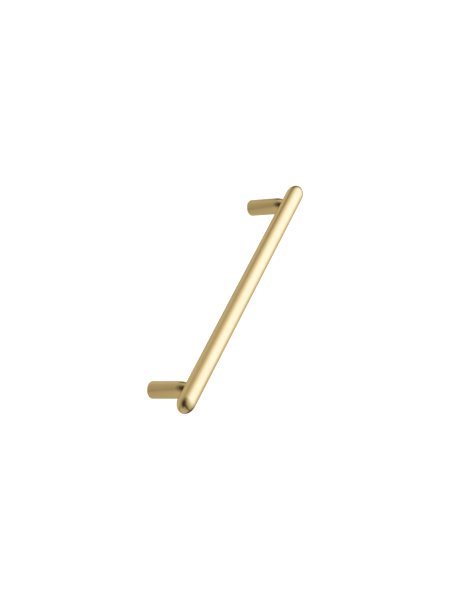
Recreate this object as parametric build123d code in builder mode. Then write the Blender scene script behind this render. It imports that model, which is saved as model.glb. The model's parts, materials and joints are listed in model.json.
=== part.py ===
from build123d import *
import math
import os

# Cabinet pull: a round brass grip bar on two turned posts, for a drawer front.
# Millimetres. X runs along the bar, the mounting face is the plane Y = 0 and the pull stands out towards -Y.
# Z is up. The origin is on the mounting face, halfway between the two fixing screws.

# Layout
hole_spacing = 160.0
axis_standoff = 27.75

# Grip bar: a solid round bar that runs on past the axis of each post by this overhang. Its ends are half
# ellipsoids, longer than a half ball.
bar_diameter = 10.5
bar_overhang = 17.0
bar_dome_depth = 7.5

# Posts: round, with an eased edge at the mounting face. Towards the bar each post narrows in a shoulder, an arc
# that starts this far from the bar's axis, and its end is a saddle cut to the bar's curve.
post_diameter = 10.0
post_edge_radius = 1.75
shoulder_start = 9.0
shoulder_radius = 13.0
saddle_gap = 0.02

# Tapped hole for an M4 fixing screw, drawn at its tapping drill size
fixing_drill_diameter = 3.3
fixing_hole_depth = 11.0
countersink_diameter = 4.1

# Threaded stud in each joint, M4 without a head, drawn at the outside of its thread
stud_diameter = 4.0
stud_length = 12.0
stud_in_bar = 5.5
stud_chamfer = 0.5
stud_thread_clearance = 0.05
stud_end_clearance = 0.5
socket_across_flats = 2.0
socket_depth = 2.2

# The point that a twist drill leaves at the bottom of a blind hole
drill_point_angle = 118.0

bar_radius = bar_diameter / 2
bar_length = hole_spacing + 2 * bar_overhang
post_radius = post_diameter / 2
fixing_drill_radius = fixing_drill_diameter / 2
countersink_radius = countersink_diameter / 2
countersink_depth = countersink_radius - fixing_drill_radius
stud_hole_radius = stud_diameter / 2 + stud_thread_clearance
stud_in_post = stud_length - stud_in_bar
point_slope = 1 / math.tan(math.radians(drill_point_angle / 2))

# Places along Y, from the mounting face outwards
bar_back = -(axis_standoff - bar_radius)
shoulder_place = -(axis_standoff - shoulder_start)
blank_end = -(axis_standoff - bar_radius / 2)
fixing_hole_bottom = -fixing_hole_depth
bar_hole_bottom = bar_back - stud_in_bar - stud_end_clearance
post_hole_bottom = bar_back + stud_in_post + stud_end_clearance

post_places = {"left_post": -hole_spacing / 2, "right_post": hole_spacing / 2}

os.makedirs("parts", exist_ok=True)

# Grip bar: half of its outline is turned about the bar's axis
bar_plane = Plane((0, -axis_standoff, 0), x_dir=(1, 0, 0), z_dir=(0, 0, 1))
straight_end = bar_length / 2 - bar_dome_depth

with BuildPart() as grip_bar:
    with BuildSketch(bar_plane):
        with BuildLine():
            Line((-straight_end, bar_radius), (straight_end, bar_radius))
            EllipticalCenterArc((straight_end, 0), bar_dome_depth, bar_radius, start_angle=0, arc_size=90)
            Line((bar_length / 2, 0), (-bar_length / 2, 0))
            EllipticalCenterArc((-straight_end, 0), bar_dome_depth, bar_radius, start_angle=90, arc_size=90)
        make_face()
    revolve(axis=Axis(bar_plane.origin, (1, 0, 0)))

    # A blind hole for each stud, drilled into the back of the bar on the post's axis
    for place in post_places.values():
        with BuildSketch(Plane.XY):
            with BuildLine():
                Polyline(
                    (place, 0),
                    (place + stud_hole_radius, 0),
                    (place + stud_hole_radius, bar_hole_bottom),
                    (place, bar_hole_bottom - stud_hole_radius * point_slope),
                    close=True,
                )
            make_face()
        revolve(axis=Axis((place, 0, 0), (0, 1, 0)), mode=Mode.SUBTRACT)

grip_bar.part.label = "grip_bar"
export_step(grip_bar.part, "parts/grip_bar.step")

# Posts: turned with both of their holes, then cut to the bar's radius
shoulder_turn = math.degrees(math.asin((shoulder_place - blank_end) / shoulder_radius))

for name, place in post_places.items():
    with BuildPart() as post:
        with BuildSketch(Plane((place, 0, 0))):
            with BuildLine():
                Line((0, 0), (post_radius - post_edge_radius, 0))
                CenterArc(
                    (post_radius - post_edge_radius, -post_edge_radius),
                    post_edge_radius,
                    start_angle=0,
                    arc_size=90,
                )
                Line((post_radius, -post_edge_radius), (post_radius, shoulder_place))
                shoulder = CenterArc(
                    (post_radius - shoulder_radius, shoulder_place),
                    shoulder_radius,
                    start_angle=0,
                    arc_size=-shoulder_turn,
                )
                Polyline(shoulder @ 1, (0, blank_end), (0, 0))
            make_face()
            with BuildLine():
                Polyline(
                    (0, 0),
                    (countersink_radius, 0),
                    (fixing_drill_radius, -countersink_depth),
                    (fixing_drill_radius, fixing_hole_bottom),
                    (0, fixing_hole_bottom - fixing_drill_radius * point_slope),
                    close=True,
                )
            make_face(mode=Mode.SUBTRACT)
            with BuildLine():
                Polyline(
                    (0, blank_end),
                    (stud_hole_radius, blank_end),
                    (stud_hole_radius, post_hole_bottom),
                    (0, post_hole_bottom + stud_hole_radius * point_slope),
                    close=True,
                )
            make_face(mode=Mode.SUBTRACT)
        revolve(axis=Axis((place, 0, 0), (0, 1, 0)))

        # The saddle: a trough along X in which the bar lies
        with BuildSketch(Plane.YZ.offset(place)):
            with Locations((-axis_standoff, 0)):
                Circle(bar_radius + saddle_gap)
        extrude(amount=post_diameter, both=True, mode=Mode.SUBTRACT)

    post.part.label = name
    export_step(post.part, f"parts/{name}.step")

# Joining studs: one on each post's axis, with a hexagon socket in the end that goes into the post
stud_inner_end = bar_back - stud_in_bar
stud_plane = Plane((0, stud_inner_end, 0), x_dir=(1, 0, 0), z_dir=(0, 1, 0))

with BuildPart() as joining_studs:
    with BuildSketch(stud_plane):
        with Locations([(place, 0) for place in post_places.values()]):
            Circle(stud_diameter / 2)
    extrude(amount=stud_length)
    chamfer(joining_studs.edges().filter_by(GeomType.CIRCLE), length=stud_chamfer)
    with BuildSketch(stud_plane.offset(stud_length)):
        with Locations([(place, 0) for place in post_places.values()]):
            RegularPolygon(socket_across_flats / 2, side_count=6, major_radius=False)
    extrude(amount=-socket_depth, mode=Mode.SUBTRACT)

joining_studs.part.label = "joining_studs"
export_step(joining_studs.part, "parts/joining_studs.step")
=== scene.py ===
# %% [markdown]
# # A satin brass cabinet pull
#
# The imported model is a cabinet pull: a round grip bar with long domed ends, on two turned posts, with a
# threaded stud hidden in each joint. Its solids are exact in place and size, but their surfaces are made of
# flat triangles. Here every piece is modelled again with an even, fine mesh. The screw holes and the studs
# get their threads, and then each piece gets its satin brass or its steel. All lengths are in metres, and
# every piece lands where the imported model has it.

# %% Load the frame
import json
import math

import bpy
from mathutils import Matrix, Vector


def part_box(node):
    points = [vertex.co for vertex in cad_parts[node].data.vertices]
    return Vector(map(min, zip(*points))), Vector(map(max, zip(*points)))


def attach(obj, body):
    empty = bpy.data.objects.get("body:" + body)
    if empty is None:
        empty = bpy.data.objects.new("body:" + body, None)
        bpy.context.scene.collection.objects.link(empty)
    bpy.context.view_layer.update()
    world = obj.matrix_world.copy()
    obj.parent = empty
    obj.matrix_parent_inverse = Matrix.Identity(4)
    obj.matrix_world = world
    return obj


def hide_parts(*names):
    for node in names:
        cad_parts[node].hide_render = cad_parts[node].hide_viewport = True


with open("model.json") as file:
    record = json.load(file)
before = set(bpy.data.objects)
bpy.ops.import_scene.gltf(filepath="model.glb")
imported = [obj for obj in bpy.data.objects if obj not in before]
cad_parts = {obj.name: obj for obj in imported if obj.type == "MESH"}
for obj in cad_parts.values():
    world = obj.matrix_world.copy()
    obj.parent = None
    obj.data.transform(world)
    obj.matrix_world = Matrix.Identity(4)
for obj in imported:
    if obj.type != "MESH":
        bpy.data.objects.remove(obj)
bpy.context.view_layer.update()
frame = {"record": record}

MM = 0.001

# %% [markdown]
# ## Sizes
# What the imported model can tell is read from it: the boxes of its nodes, and the screw holes from its
# record. The radii of its roundings can't be read from a box, so they are named here, with the values that
# the solids have.

# %% Sizes
mounts = {mount["name"]: mount for mount in frame["record"]["mounts"]}
hole_spacing = mounts["screw_holes"]["dims"]["spacing_x_mm"] * MM
drill_radius = mounts["screw_holes"]["dims"]["hole_r_mm"] * MM

bar_low, bar_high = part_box("grip_bar")
bar_radius = (bar_high.y - bar_low.y) / 2
bar_axis_y = (bar_high.y + bar_low.y) / 2
bar_half_length = (bar_high.x - bar_low.x) / 2
dome_depth = 7.5 * MM

post_places = {"left_post": -hole_spacing / 2, "right_post": hole_spacing / 2}
post_radius = 5.0 * MM
post_edge_radius = 1.75 * MM
shoulder_start = 9.0 * MM
shoulder_radius = 13.0 * MM
saddle_gap = 0.02 * MM

screw_hole_depth = 11.0 * MM
countersink_radius = 2.05 * MM
stud_hole_radius = 2.05 * MM
stud_hole_end_y = {"bar": -28.5 * MM, "post": -15.5 * MM}
drill_point_angle = math.radians(118)
drill_point_slope = 1 / math.tan(drill_point_angle / 2)

thread_radius = 2.0 * MM
thread_pitch = 0.7 * MM
thread_depth = 10.0 * MM

print("bar radius, mm:", round(bar_radius / MM, 3), "axis at y", round(bar_axis_y / MM, 3))

# %% [markdown]
# ## Helpers
# Modelling by operators works on what is selected, so each step starts with nothing selected and then picks
# vertices by their place, within a small distance called NEAR. A finished piece has its place in its mesh,
# so its transform is applied. A cutter reaches OVERRUN past the surface that it opens, because two faces in
# one plane confuse a boolean.

# %% Helpers for selecting and editing
NEAR = 0.01 * MM
OVERRUN = 1.0 * MM
MERGE_DISTANCE = 0.0005 * MM
SHARP_ANGLE = math.radians(32)


def use(piece):
    """Selects piece alone and makes it active."""
    bpy.ops.object.select_all(action="DESELECT")
    piece.select_set(True)
    bpy.context.view_layer.objects.active = piece


def start_piece(name):
    """Names the primitive that was just added and puts its place in its mesh."""
    piece = bpy.context.object
    piece.name = piece.data.name = name
    bpy.ops.object.transform_apply(location=True, rotation=True, scale=True)
    return piece


def pick(piece, test):
    """In edit mode, selects the vertices whose place passes the test, and what lies between them."""
    bpy.ops.mesh.select_mode(type="VERT")
    bpy.ops.mesh.select_all(action="DESELECT")
    bpy.ops.object.mode_set(mode="OBJECT")
    for vertex in piece.data.vertices:
        vertex.select = bool(test(vertex.co))
    bpy.ops.object.mode_set(mode="EDIT")


def apply_modifier(piece, kind, **settings):
    """Adds a modifier with these settings and applies it."""
    use(piece)
    modifier = piece.modifiers.new(kind.title(), kind)
    for name, value in settings.items():
        setattr(modifier, name, value)
    bpy.ops.object.modifier_apply(modifier=modifier.name)


def cut(piece, cutter, operation="DIFFERENCE"):
    """Takes the cutter from the piece, or joins or intersects them, and removes the cutter."""
    apply_modifier(piece, "BOOLEAN", object=cutter, operation=operation, solver="EXACT")
    bpy.data.objects.remove(cutter)


def triangulate(piece):
    """Splits all faces into triangles, because a boolean goes wrong on faces that aren't quite flat."""
    use(piece)
    bpy.ops.object.mode_set(mode="EDIT")
    bpy.ops.mesh.select_all(action="SELECT")
    bpy.ops.mesh.quads_convert_to_tris()
    bpy.ops.object.mode_set(mode="OBJECT")


def close_up(piece):
    """Merges doubles, turns all faces outwards and shades the piece smooth up to its sharp edges."""
    use(piece)
    bpy.ops.object.mode_set(mode="EDIT")
    bpy.ops.mesh.select_all(action="SELECT")
    bpy.ops.mesh.remove_doubles(threshold=MERGE_DISTANCE)
    bpy.ops.mesh.normals_make_consistent(inside=False)
    bpy.ops.mesh.select_all(action="DESELECT")
    bpy.ops.mesh.select_mode(type="EDGE")
    bpy.ops.mesh.select_non_manifold()
    bpy.ops.object.mode_set(mode="OBJECT")
    open_edges = sum(edge.select for edge in piece.data.edges)
    bpy.ops.object.shade_smooth_by_angle(angle=SHARP_ANGLE)
    print(piece.name, "faces:", len(piece.data.polygons), "open edges:", open_edges)


# %% [markdown]
# ## Cutters
# A twist drill leaves a round hole with a pointed bottom. Its cutter is a cylinder with a fan of triangles
# as its cap: the middle vertex of the fan, pulled out, is the drill's point. A tap leaves a groove that
# winds round the hole, and the Screw modifier winds a small outline in just that way.

# %% Drill and thread cutters
ALONG_Y = (math.radians(90), 0, 0)
ALONG_X = (0, math.radians(90), 0)
DRILL_SIDES = 64
THREAD_STEPS = 48
RIDGE_ROOT_WIDTH = 0.62 * MM
RIDGE_TIP_WIDTH = 0.12 * MM


def drill(place, start, end, radius):
    """A drill along Y, from start to the end of its full width, with its point beyond."""
    bpy.ops.object.select_all(action="DESELECT")
    bpy.ops.mesh.primitive_cylinder_add(
        vertices=DRILL_SIDES, radius=radius, depth=abs(end - start), end_fill_type="TRIFAN",
        location=(place, (start + end) / 2, 0), rotation=ALONG_Y,
    )
    cutter = start_piece("drill")
    bpy.ops.object.mode_set(mode="EDIT")
    pick(cutter, lambda co: abs(co.y - end) < NEAR and math.hypot(co.x - place, co.z) < NEAR)
    point = radius * drill_point_slope * (1 if end > start else -1)
    bpy.ops.transform.translate(value=(0, point, 0))
    bpy.ops.object.mode_set(mode="OBJECT")
    return cutter


def thread(place, start, length, root_radius, tip_radius):
    """A ridge that winds round the axis of a post, from start on towards the bar."""
    bpy.ops.object.select_all(action="DESELECT")
    bpy.ops.mesh.primitive_plane_add(size=1)
    ridge = start_piece("ridge")
    for vertex in ridge.data.vertices:
        inner = vertex.co.x < 0
        side = -1 if vertex.co.y < 0 else 1
        vertex.co.x = root_radius if inner else tip_radius
        vertex.co.y = side * (RIDGE_ROOT_WIDTH if inner else RIDGE_TIP_WIDTH) / 2
    apply_modifier(
        ridge, "SCREW", axis="Y", angle=math.tau, screw_offset=-thread_pitch, steps=THREAD_STEPS,
        render_steps=THREAD_STEPS, iterations=round(length / thread_pitch), use_merge_vertices=False,
    )
    bpy.ops.object.mode_set(mode="EDIT")
    bpy.ops.mesh.select_all(action="SELECT")
    bpy.ops.mesh.remove_doubles(threshold=MERGE_DISTANCE)
    bpy.ops.mesh.fill_holes(sides=0)
    bpy.ops.mesh.select_all(action="SELECT")
    bpy.ops.mesh.quads_convert_to_tris()
    bpy.ops.mesh.normals_make_consistent(inside=False)
    bpy.ops.object.mode_set(mode="OBJECT")
    ridge.location = (place, start, 0)
    bpy.ops.object.transform_apply(location=True, rotation=True, scale=True)
    return ridge


# %% [markdown]
# ## The grip bar
# The real bar is turned from solid rod, and its ends are longer than a half ball. So a quarter of a circle
# is stretched to the dome's outline, a straight side is drawn from it to the middle of the bar, and the
# outline is spun about the bar's axis. A mirror makes the other half. A scaled sphere at each end would
# also do, but the seam between sphere and rod would show in the reflections.

# %% Grip bar
BAR_SEGMENTS = 128
LENGTH_CUTS = 99
straight_half = bar_half_length - dome_depth
bar_centre = Vector((0, bar_axis_y, 0))

bpy.ops.object.select_all(action="DESELECT")
bpy.ops.mesh.primitive_circle_add(vertices=BAR_SEGMENTS, radius=bar_radius, location=bar_centre)
bar = start_piece("brass_grip_bar")
bpy.ops.object.mode_set(mode="EDIT")
pick(bar, lambda co: co.x < -NEAR or co.y < bar_axis_y - NEAR)
bpy.ops.mesh.delete(type="VERT")
bpy.ops.mesh.select_all(action="SELECT")
bpy.ops.transform.resize(value=(dome_depth / bar_radius, 1, 1), center_override=bar_centre)
bpy.ops.transform.translate(value=(straight_half, 0, 0))
pick(bar, lambda co: co.x < straight_half + NEAR)
bpy.ops.mesh.extrude_region_move(TRANSFORM_OT_translate={"value": (-straight_half, 0, 0)})
pick(bar, lambda co: co.x < straight_half + NEAR)
bpy.ops.mesh.subdivide(number_cuts=LENGTH_CUTS)
bpy.ops.mesh.select_all(action="SELECT")
bpy.ops.mesh.spin(steps=BAR_SEGMENTS, angle=math.tau, center=bar_centre, axis=(1, 0, 0))
bpy.ops.object.mode_set(mode="OBJECT")
apply_modifier(bar, "MIRROR", use_axis=(True, False, False), merge_threshold=MERGE_DISTANCE)
close_up(bar)
for place in post_places.values():
    cut(bar, drill(place, 0, stud_hole_end_y["bar"], stud_hole_radius))
close_up(bar)

# %% [markdown]
# ## The posts
# Each post is turned too: an eased edge at the drawer front, a straight side, and a shoulder that narrows
# towards the bar. The bevel tool makes the eased edge. The shoulder is made by extruding the end face a
# little at a time and shrinking it along an arc. The end is then cut to the bar's curve by a cylinder of
# the bar's size and a hair more, so that nothing overlaps.

# %% Post values
POST_SEGMENTS = 128
EDGE_STEPS = 12
SHOULDER_STEPS = 14
RIDGE_SUNK = 0.1 * MM
shoulder_y = bar_axis_y + shoulder_start
blank_end_y = bar_axis_y + bar_radius / 2
shoulder_turn = math.asin((shoulder_y - blank_end_y) / shoulder_radius)
print("shoulder turns, degrees:", round(math.degrees(shoulder_turn), 1))

# %% Posts


def make_post(name, place):
    """Models one post, with its screw hole, its stud hole and its saddle."""
    bpy.ops.object.select_all(action="DESELECT")
    bpy.ops.mesh.primitive_cylinder_add(
        vertices=POST_SEGMENTS, radius=post_radius, depth=-shoulder_y,
        location=(place, shoulder_y / 2, 0), rotation=ALONG_Y,
    )
    post = start_piece(name)
    bpy.ops.object.mode_set(mode="EDIT")
    pick(post, lambda co: co.y > -NEAR)
    bpy.ops.mesh.bevel(offset=post_edge_radius, segments=EDGE_STEPS, profile=0.5, affect="EDGES")
    radius, turned = post_radius, 0.0
    ring_y = shoulder_y
    pick(post, lambda co: co.y < shoulder_y + NEAR)
    for step in range(SHOULDER_STEPS):
        turned += shoulder_turn / SHOULDER_STEPS
        next_radius = post_radius - shoulder_radius * (1 - math.cos(turned))
        next_y = shoulder_y - shoulder_radius * math.sin(turned)
        bpy.ops.mesh.extrude_region_move(TRANSFORM_OT_translate={"value": (0, next_y - ring_y, 0)})
        shrink = next_radius / radius
        bpy.ops.transform.resize(value=(shrink, 1, shrink), center_override=(place, next_y, 0))
        radius, ring_y = next_radius, next_y
    bpy.ops.object.mode_set(mode="OBJECT")
    close_up(post)
    cut(post, drill(place, OVERRUN, -screw_hole_depth, drill_radius))
    cut(post, thread(place, thread_pitch, thread_depth, drill_radius - RIDGE_SUNK, thread_radius))
    triangulate(post)
    cone_height = countersink_radius + OVERRUN
    bpy.ops.object.select_all(action="DESELECT")
    bpy.ops.mesh.primitive_cone_add(
        vertices=DRILL_SIDES, radius1=cone_height, radius2=0, depth=cone_height,
        location=(place, OVERRUN - cone_height / 2, 0), rotation=ALONG_Y,
    )
    cut(post, start_piece("countersink"))
    cut(post, drill(place, bar_axis_y, stud_hole_end_y["post"], stud_hole_radius))
    bpy.ops.object.select_all(action="DESELECT")
    bpy.ops.mesh.primitive_cylinder_add(
        vertices=2 * BAR_SEGMENTS, radius=bar_radius + saddle_gap, depth=4 * post_radius,
        location=(place, bar_axis_y, 0), rotation=ALONG_X,
    )
    cut(post, start_piece("saddle"))
    close_up(post)
    return post


left_post = make_post("brass_left_post", post_places["left_post"])
use(left_post)
bpy.ops.object.duplicate()
bpy.ops.transform.translate(value=(hole_spacing, 0, 0))
right_post = start_piece("brass_right_post")
print("second post has its own mesh:", right_post.data is not left_post.data)

# %% [markdown]
# ## The studs
# In each joint a short steel stud without a head is screwed into the bar and into the post, and a hexagon
# key turns it. It can't be seen on the finished pull, but it is what holds the pull together, so it gets
# its real thread. The ridge is joined to a core, both are cut to a chamfered blank, and a six-sided cutter
# sinks the socket.

# %% Stud sizes
BLANK_SIDES = 96
SOCKET_SIDES = 6
stud_low, stud_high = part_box("joining_studs")
stud_radius = (stud_high.z - stud_low.z) / 2
stud_core_radius = 1.57 * MM
ridge_root_radius = 1.5 * MM
blank_radius = stud_radius + 0.05 * MM
blank_chamfer = 0.55 * MM
socket_corner_radius = 1.0 * MM / math.cos(math.radians(30))
socket_depth = 2.2 * MM
stud_middle_y = (stud_low.y + stud_high.y) / 2
stud_length = stud_high.y - stud_low.y
first_place = post_places["left_post"]
print("studs from y", round(stud_low.y / MM, 2), "to", round(stud_high.y / MM, 2), "mm")

# %% Studs


def add_rod(name, sides, radius, length, middle_y):
    """Adds a rod along Y on the axis of the left post."""
    bpy.ops.object.select_all(action="DESELECT")
    bpy.ops.mesh.primitive_cylinder_add(
        vertices=sides, radius=radius, depth=length, location=(first_place, middle_y, 0), rotation=ALONG_Y,
    )
    return start_piece(name)


core_length = stud_length + 2 * OVERRUN
studs = add_rod("steel_joining_studs", DRILL_SIDES, stud_core_radius, core_length, stud_middle_y)
ridge_start, ridge_length = stud_high.y + thread_pitch, stud_length + 2 * thread_pitch
stud_ridge = thread(first_place, ridge_start, ridge_length, ridge_root_radius, stud_radius)
cut(studs, stud_ridge, operation="UNION")
triangulate(studs)
blank = add_rod("blank", BLANK_SIDES, blank_radius, stud_length, stud_middle_y)
for end_y in (stud_low.y, stud_high.y):
    bpy.ops.object.mode_set(mode="EDIT")
    pick(blank, lambda co: abs(co.y - end_y) < NEAR)
    bpy.ops.mesh.bevel(offset=blank_chamfer, segments=1, affect="EDGES")
    bpy.ops.object.mode_set(mode="OBJECT")
cut(studs, blank, operation="INTERSECT")
triangulate(studs)
socket_length = socket_depth + OVERRUN
socket_middle_y = stud_high.y - socket_depth + socket_length / 2
cut(studs, add_rod("socket", SOCKET_SIDES, socket_corner_radius, socket_length, socket_middle_y))
close_up(studs)
use(studs)
bpy.ops.object.mode_set(mode="EDIT")
bpy.ops.mesh.select_all(action="SELECT")
bpy.ops.mesh.duplicate()
bpy.ops.transform.translate(value=(hole_spacing, 0, 0))
bpy.ops.object.mode_set(mode="OBJECT")
print("studs, mm:", [round(side / MM, 2) for side in studs.dimensions])

# %% [markdown]
# ## Who carries what
# Each new piece stands for its imported solid, which is then hidden, and rides on the same body. A pull has
# no moving parts, so there is one body, called root. The slot in each row is the name of the finish in the
# part's record; nothing here reads it.

# %% Stand for the imported solids
for piece, node, slot in (
    (bar, "grip_bar", "satin_brass"),
    (left_post, "left_post", "satin_brass"),
    (right_post, "right_post", "satin_brass"),
    (studs, "joining_studs", "stud_steel"),
):
    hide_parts(node)
    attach(piece, "root")
    print(piece.name, "stands for", node)

# %% [markdown]
# ## Satin brass
# The real pull is turned, then brushed with a fine abrasive while it spins, and lacquered. So the brush
# marks run round each piece: two noises that are squeezed along the axis of turning give fine lines and
# wider streaks. Both change the roughness and a very small bump, and the streaks change the tone too. A
# third noise without a direction clouds the tone. The places that hands and drawer fronts rub, the tips of
# the bar and the ends of the posts, are a little smoother and paler. The lacquer is the shader's coat. It
# mirrors light without the metal's colour, so it is kept weak. At a glancing angle a metal mirrors nearly
# all light, and BRASS_EDGE keeps such rims golden.

# %% Node helpers
# Most values of a noise lie between these two
NOISE_LOW, NOISE_HIGH = 0.3, 0.7
# A Mix node has sockets for every kind of value. These are the numbers of those for colours.
MIX_FIRST, MIX_SECOND, MIX_RESULT = 6, 7, 2


def add_node(tree, kind, **inputs):
    """Adds a shader node and sets its named inputs, with _ for a space."""
    node = tree.nodes.new("ShaderNode" + kind)
    for name, value in inputs.items():
        node.inputs[name.replace("_", " ")].default_value = value
    return node


def stretched_noise(tree, place, scale, detail=2.0):
    """A noise on Object coordinates with its own scale along each axis."""
    mapping = add_node(tree, "Mapping", Scale=scale)
    noise = add_node(tree, "TexNoise", Scale=1.0, Detail=detail, Roughness=0.6)
    tree.links.new(place, mapping.inputs["Vector"])
    tree.links.new(mapping.outputs["Vector"], noise.inputs["Vector"])
    return noise.outputs["Fac"]


def remap(tree, value, from_low, from_high, to_low, to_high, smooth=False):
    """Maps one range of values onto another."""
    node = add_node(tree, "MapRange")
    node.interpolation_type = "SMOOTHSTEP" if smooth else "LINEAR"
    tree.links.new(value, node.inputs["Value"])
    limits = {"From Min": from_low, "From Max": from_high, "To Min": to_low, "To Max": to_high}
    for name, limit in limits.items():
        node.inputs[name].default_value = limit
    return node.outputs["Result"]


def math_node(tree, operation, first, second=None):
    """One sum on values, of which the second may be a number."""
    node = tree.nodes.new("ShaderNodeMath")
    node.operation = operation
    tree.links.new(first, node.inputs[0])
    if isinstance(second, (int, float)):
        node.inputs[1].default_value = second
    elif second is not None:
        tree.links.new(second, node.inputs[1])
    return node.outputs["Value"]


def mix_colours(tree, share, first, second):
    """Goes from the first colour to the second as the share goes from 0 to 1. A colour may be a socket."""
    mix = tree.nodes.new("ShaderNodeMix")
    mix.data_type = "RGBA"
    tree.links.new(share, mix.inputs["Factor"])
    for number, colour in ((MIX_FIRST, first), (MIX_SECOND, second)):
        if isinstance(colour, tuple):
            mix.inputs[number].default_value = colour
        else:
            tree.links.new(colour, mix.inputs[number])
    return mix.outputs[MIX_RESULT]


# %% Values of the brass
LINES_PER_METRE = 5500
STREAKS_PER_METRE = 900
ROUND_PER_METRE = 45
CLOUDS_PER_METRE = 70

BRASS_DEEP = (0.83, 0.605, 0.3, 1)
BRASS_PALE = (0.89, 0.665, 0.35, 1)
BRASS_EDGE = (0.99, 0.94, 0.76, 1)
STREAK_CONTRAST = 0.25
CLOUD_TONES = (0.25, 0.65)
RUBBED_PALER = 0.2
TIP_RUB_WIDTH = 3.5 * MM
WALL_RUB_START = 0.3 * MM

SATIN = 0.2
BRUSHED_ROUGHER = 0.05
RUBBED_SMOOTHER = 0.03
BRUSH_LINE_DEPTH = 0.01 * MM
BRUSH_LINE_STRENGTH = 0.12
LACQUER = 0.25
LACQUER_ROUGHNESS = 0.15
print("brush lines, mm apart:", round(1 / LINES_PER_METRE / MM, 2))

# %% Brass


def make_brass(name, axis, rubbed_from, rubbed_to):
    """Satin brass turned about one axis, and rubbed more and more from one distance along it to another."""
    material = bpy.data.materials.new(name)
    material.use_nodes = True
    tree = material.node_tree
    shader = tree.nodes["Principled BSDF"]
    shader.inputs["Metallic"].default_value = 1.0
    shader.inputs["Specular Tint"].default_value = BRASS_EDGE
    shader.inputs["Coat Weight"].default_value = LACQUER
    shader.inputs["Coat Roughness"].default_value = LACQUER_ROUGHNESS

    place = tree.nodes.new("ShaderNodeTexCoord").outputs["Object"]
    fine = [LINES_PER_METRE if side == axis else ROUND_PER_METRE for side in "XYZ"]
    wide = [STREAKS_PER_METRE if side == axis else ROUND_PER_METRE for side in "XYZ"]
    lines = stretched_noise(tree, place, fine, detail=3.0)
    streaks = stretched_noise(tree, place, wide)
    clouds = stretched_noise(tree, place, [CLOUDS_PER_METRE] * 3)

    separate = tree.nodes.new("ShaderNodeSeparateXYZ")
    tree.links.new(place, separate.inputs["Vector"])
    distance = math_node(tree, "ABSOLUTE", separate.outputs[axis])
    rubbed = remap(tree, distance, rubbed_from, rubbed_to, 0.0, 1.0, smooth=True)

    uneven = math_node(tree, "ADD", lines, streaks)
    smoothest, roughest = SATIN - BRUSHED_ROUGHER, SATIN + BRUSHED_ROUGHER
    rough = remap(tree, uneven, 2 * NOISE_LOW, 2 * NOISE_HIGH, smoothest, roughest)
    rough = math_node(tree, "SUBTRACT", rough, math_node(tree, "MULTIPLY", rubbed, RUBBED_SMOOTHER))
    tree.links.new(rough, shader.inputs["Roughness"])

    streaked = remap(tree, streaks, NOISE_LOW, NOISE_HIGH, -STREAK_CONTRAST, STREAK_CONTRAST)
    clouded = remap(tree, clouds, NOISE_LOW, NOISE_HIGH, *CLOUD_TONES)
    shade = math_node(tree, "ADD", clouded, streaked)
    shade = math_node(tree, "ADD", shade, math_node(tree, "MULTIPLY", rubbed, RUBBED_PALER))
    tree.links.new(mix_colours(tree, shade, BRASS_DEEP, BRASS_PALE), shader.inputs["Base Color"])

    bump = add_node(tree, "Bump", Strength=BRUSH_LINE_STRENGTH, Distance=BRUSH_LINE_DEPTH)
    tree.links.new(uneven, bump.inputs["Height"])
    tree.links.new(bump.outputs["Normal"], shader.inputs["Normal"])
    print(name, "nodes:", len(tree.nodes))
    return material


bar_brass = make_brass("satin_brass_bar", "X", straight_half - TIP_RUB_WIDTH, bar_half_length)
post_brass = make_brass("satin_brass_post", "Y", post_edge_radius, WALL_RUB_START)
for piece, material in ((bar, bar_brass), (left_post, post_brass), (right_post, post_brass)):
    piece.data.materials.clear()
    piece.data.materials.append(material)

# %% [markdown]
# ## Stud steel
# The studs are bought parts of plain steel, with the thin dull skin of oil and oxide that such screws have.
# A fine noise makes that skin patchy in tone and in roughness.

# %% Steel
SKIN_PER_METRE = 900
STEEL_DARK = (0.46, 0.46, 0.47, 1)
STEEL_PALE = (0.58, 0.58, 0.59, 1)
STEEL_ROUGHNESS = (0.28, 0.42)
steel = bpy.data.materials.new("stud_steel")
steel.use_nodes = True
steel_tree = steel.node_tree
steel_shader = steel_tree.nodes["Principled BSDF"]
steel_shader.inputs["Metallic"].default_value = 1.0
steel_place = steel_tree.nodes.new("ShaderNodeTexCoord").outputs["Object"]
skin = stretched_noise(steel_tree, steel_place, [SKIN_PER_METRE] * 3, detail=4.0)
steel_rough = remap(steel_tree, skin, NOISE_LOW, NOISE_HIGH, *STEEL_ROUGHNESS)
steel_tree.links.new(steel_rough, steel_shader.inputs["Roughness"])
steel_tone = mix_colours(steel_tree, skin, STEEL_DARK, STEEL_PALE)
steel_tree.links.new(steel_tone, steel_shader.inputs["Base Color"])
studs.data.materials.clear()
studs.data.materials.append(steel)
print("stud_steel nodes:", len(steel_tree.nodes))

# %% [markdown]
# ## Camera
# The pull is seen from the front left and from above, with a long lens, and the camera is rolled. Its place
# and its lens are those at which the solids cover the pull in the photograph. A camera can also be aimed by
# a constraint, but its three directions, worked out here, say plainly where it looks and how far it is
# rolled.

# %% Camera
camera_place = Vector((-591.2, -470.4, 507.9)) * MM
camera_forward = Vector((0.65188, 0.50463, -0.56604)).normalized()
camera_roll = math.radians(-25.93)
lens_mm = 92.69
sensor_width_mm = 36

level_right = camera_forward.cross(Vector((0, 0, 1))).normalized()
level_up = level_right.cross(camera_forward)
right = level_right * math.cos(camera_roll) + level_up * math.sin(camera_roll)
up = level_up * math.cos(camera_roll) - level_right * math.sin(camera_roll)
camera_data = bpy.data.cameras.new("camera")
camera_data.lens = lens_mm
camera_data.sensor_width = sensor_width_mm
camera = bpy.data.objects.new("camera", camera_data)
bpy.context.scene.collection.objects.link(camera)
camera_turn = Matrix((right, up, -camera_forward)).transposed().to_4x4()
camera.matrix_world = Matrix.Translation(camera_place) @ camera_turn
bpy.context.scene.camera = camera
print("camera, m from the wall:", round(-camera_place.y, 3))

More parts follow.
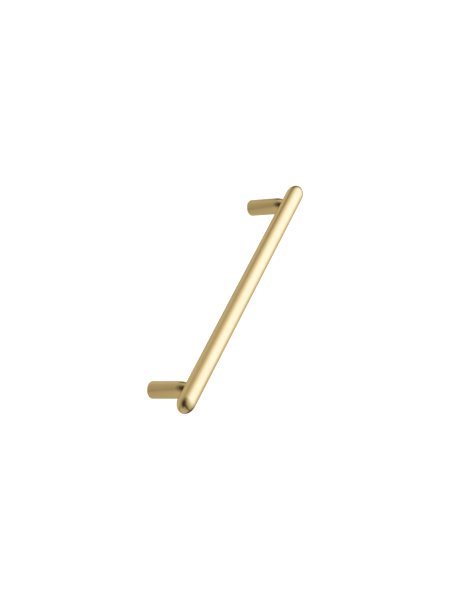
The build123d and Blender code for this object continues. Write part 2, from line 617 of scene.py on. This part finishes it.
# %% [markdown]
# ## Stage
# Bright metal has no colour of its own to show: it shows what stands round it. Product photographers put
# such a pull in a tent of white cloth, light the cloth from outside, and hang dark cards in it where an
# edge should stay dark. Here the tent is a sphere round the pull that only reflections see. Each card is a
# soft-edged oval on it, in a direction from the pull and with its own half width, softness, stretch and
# turn.

# %% Tent
TENT_RADIUS = 0.8
TENT_SUBDIVISIONS = 5
CLOTH = (0.6, 0.59, 0.49, 1)
tent_middle = Vector((0, -0.02, 0))
bpy.ops.object.select_all(action="DESELECT")
bpy.ops.mesh.primitive_ico_sphere_add(
    subdivisions=TENT_SUBDIVISIONS, radius=TENT_RADIUS, location=tent_middle,
)
tent = start_piece("light_tent")
tent.visible_camera = tent.visible_diffuse = tent.visible_shadow = tent.visible_transmission = False

cloth = bpy.data.materials.new("tent_cloth")
cloth.use_nodes = True
cloth.cycles.emission_sampling = "NONE"
cloth_tree = cloth.node_tree
cloth_tree.nodes.clear()
cloth_place = cloth_tree.nodes.new("ShaderNodeTexCoord").outputs["Object"]
print("tent faces:", len(tent.data.polygons))

# %% A card for the tent


def hang_card(under, colour, azimuth, elevation, half_width, softness, stretch=1.0, turn=0.0):
    """Lays a soft-edged oval of this colour over what is under it, and returns the cloth's new colour."""
    mapping = cloth_tree.nodes.new("ShaderNodeMapping")
    mapping.vector_type = "TEXTURE"
    mapping.inputs["Location"].default_value = tent_middle
    turns = [math.radians(angle) for angle in (turn, -elevation, azimuth)]
    mapping.inputs["Rotation"].default_value = turns
    mapping.inputs["Scale"].default_value = (1, 1, stretch)
    cloth_tree.links.new(cloth_place, mapping.inputs["Vector"])
    direction = cloth_tree.nodes.new("ShaderNodeVectorMath")
    direction.operation = "NORMALIZE"
    cloth_tree.links.new(mapping.outputs["Vector"], direction.inputs[0])
    parts = cloth_tree.nodes.new("ShaderNodeSeparateXYZ")
    cloth_tree.links.new(direction.outputs["Vector"], parts.inputs["Vector"])
    angle = math_node(cloth_tree, "ARCCOSINE", parts.outputs["X"])
    outer, inner = math.radians(half_width + softness), math.radians(half_width - softness)
    cover = remap(cloth_tree, angle, outer, inner, 0.0, 1.0, smooth=True)
    return mix_colours(cloth_tree, cover, under, colour)


def cloth_shade(level):
    """The colour of the cloth where it is lit to this part of its usual level."""
    return (*(level * part for part in CLOTH[:3]), 1)


# %% [markdown]
# ## Cards
# The bands on a polished piece tell what stands round it: a broad pale band is a softbox, and a thin dark
# edge is a black strip beside it. Lamps would do for the pale bands, but no lamp makes a dark one. So all
# of them are cards on the tent, laid one over the other, each in the direction that puts its band where the
# photograph has it.

# %% Cards
SOFTBOX = (1.23, 1.5, 2.14, 1)
SOFTBOX_RIM = (1.1, 1.14, 1.08, 1)
WHITE = (1.1, 1.1, 1.1, 1)

# A white board low behind the pull, and duller cloth at the top of the tent
glow = hang_card(CLOTH, WHITE, 67, -36, 17, 14)
glow = hang_card(glow, cloth_shade(0.8), 87, 74, 35, 8)
# Two upright black strips, one on each side of the softbox, that draw the dark edges of the metal
glow = hang_card(glow, cloth_shade(0.03), -133, 22, 48, 51, stretch=0.17, turn=99)
glow = hang_card(glow, cloth_shade(0.08), 7, 6, 34, 19, stretch=0.38, turn=71)
# The softbox, in front of the pull on the right of the camera: a warm rim and a cool, brighter middle
glow = hang_card(glow, SOFTBOX_RIM, -49, 5, 40, 26, stretch=1.35, turn=-33)
glow = hang_card(glow, SOFTBOX, -49, 5, 28, 20, stretch=1.35, turn=-18)
# The dark opening round and above the camera, and a thin dark strip that stands below it
glow = hang_card(glow, cloth_shade(0.04), -158, 60, 27, 22, stretch=1.55, turn=-12)
glow = hang_card(glow, cloth_shade(0.03), -128, -20, 45, 26, stretch=0.06, turn=99)
# A small dark card low behind the right post, a dim strip behind the left post, and the tent's dark foot
glow = hang_card(glow, cloth_shade(0.2), 47, -19, 9, 10)
glow = hang_card(glow, cloth_shade(0.35), 135, 7, 37, 58, stretch=0.15, turn=83)
glow = hang_card(glow, cloth_shade(0.15), -77, -85, 19, 15, stretch=1.75, turn=-147)
# A pale strip that stands beside the small dark card
glow = hang_card(glow, cloth_shade(1.5), 27, -27, 21, 13, stretch=0.4, turn=91)
emission = cloth_tree.nodes.new("ShaderNodeEmission")
cloth_tree.links.new(glow, emission.inputs["Color"])
cloth_output = cloth_tree.nodes.new("ShaderNodeOutputMaterial")
cloth_tree.links.new(emission.outputs["Emission"], cloth_output.inputs["Surface"])
tent.data.materials.append(cloth)
print("tent nodes:", len(cloth_tree.nodes))

# %% [markdown]
# ## Floor and world
# The floor lies well below the pull, so no shadow of it falls in the picture. The world is white to the
# camera and half as bright as a light. Reflections meet the tent first, and past it they would find a white
# world too.

# %% Floor
FLOOR_Z = -0.9
FLOOR_SIDE = 12
FLOOR_GREY = (0.85, 0.85, 0.85, 1)
FLOOR_ROUGHNESS = 0.9
FLOOR_GLOW = 0.75


def seen_directly(tree):
    """1 for rays from the camera, reflections and glass, and 0 for those that only bring light."""
    rays = tree.nodes.new("ShaderNodeLightPath")
    seen = math_node(tree, "MAXIMUM", rays.outputs["Is Camera Ray"], rays.outputs["Is Glossy Ray"])
    return math_node(tree, "MAXIMUM", seen, rays.outputs["Is Transmission Ray"])


bpy.ops.object.select_all(action="DESELECT")
bpy.ops.mesh.primitive_plane_add(size=FLOOR_SIDE, location=(0, 0, FLOOR_Z))
floor = start_piece("studio_floor")
floor_paint = bpy.data.materials.new("floor_paint")
floor_paint.use_nodes = True
floor_tree = floor_paint.node_tree
floor_shader = floor_tree.nodes["Principled BSDF"]
floor_shader.inputs["Base Color"].default_value = FLOOR_GREY
floor_shader.inputs["Roughness"].default_value = FLOOR_ROUGHNESS
floor_shader.inputs["Emission Color"].default_value = (1, 1, 1, 1)
floor_glow = math_node(floor_tree, "MULTIPLY", seen_directly(floor_tree), FLOOR_GLOW)
floor_tree.links.new(floor_glow, floor_shader.inputs["Emission Strength"])
floor.data.materials.append(floor_paint)
print("floor, m below the pull:", -FLOOR_Z)

# %% World
WORLD_LIGHT = 0.5
bpy.context.scene.view_settings.view_transform = "Standard"
world = bpy.data.worlds.new("studio")
bpy.context.scene.world = world
world.use_nodes = True
world_tree = world.node_tree
background = world_tree.nodes["Background"]
background.inputs["Color"].default_value = (1, 1, 1, 1)
world_strength = remap(world_tree, seen_directly(world_tree), 0.0, 1.0, WORLD_LIGHT, 1.0)
world_tree.links.new(world_strength, background.inputs["Strength"])
print("world nodes:", len(world_tree.nodes))
